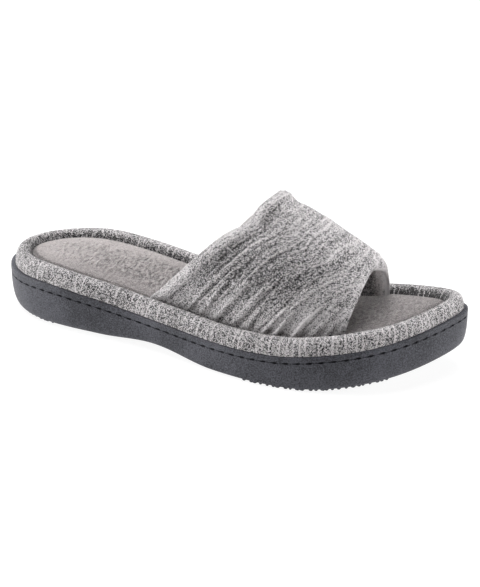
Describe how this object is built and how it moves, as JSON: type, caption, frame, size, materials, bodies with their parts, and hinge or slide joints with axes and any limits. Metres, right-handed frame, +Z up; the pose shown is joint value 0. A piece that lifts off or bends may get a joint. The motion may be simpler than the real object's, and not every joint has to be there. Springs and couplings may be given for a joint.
{
  "type": "slide slipper",
  "caption": "Open-toe house slipper with a padded knit band over the forefoot, a plush footbed inside a padded rim, and a grooved rubber outsole.",
  "frame": {"origin": "on the floor, under the middle of the outsole's box", "axes": "+X to the toe, +Y to the inner side of the foot, +Z up"},
  "size_m": [0.263, 0.0934, 0.0861],
  "materials": {
    "outsole_rubber": "moulded satin charcoal",
    "rim_knit": "heathered grey knit over padding",
    "footbed_plush": "short-pile plush in warm light grey",
    "upper_knit": "padded space-dyed grey knit"
  },
  "bodies": {
    "root": {"outsole": "outsole_rubber", "rim": "rim_knit", "footbed": "footbed_plush", "upper": "upper_knit"}
  },
  "joints": []
}
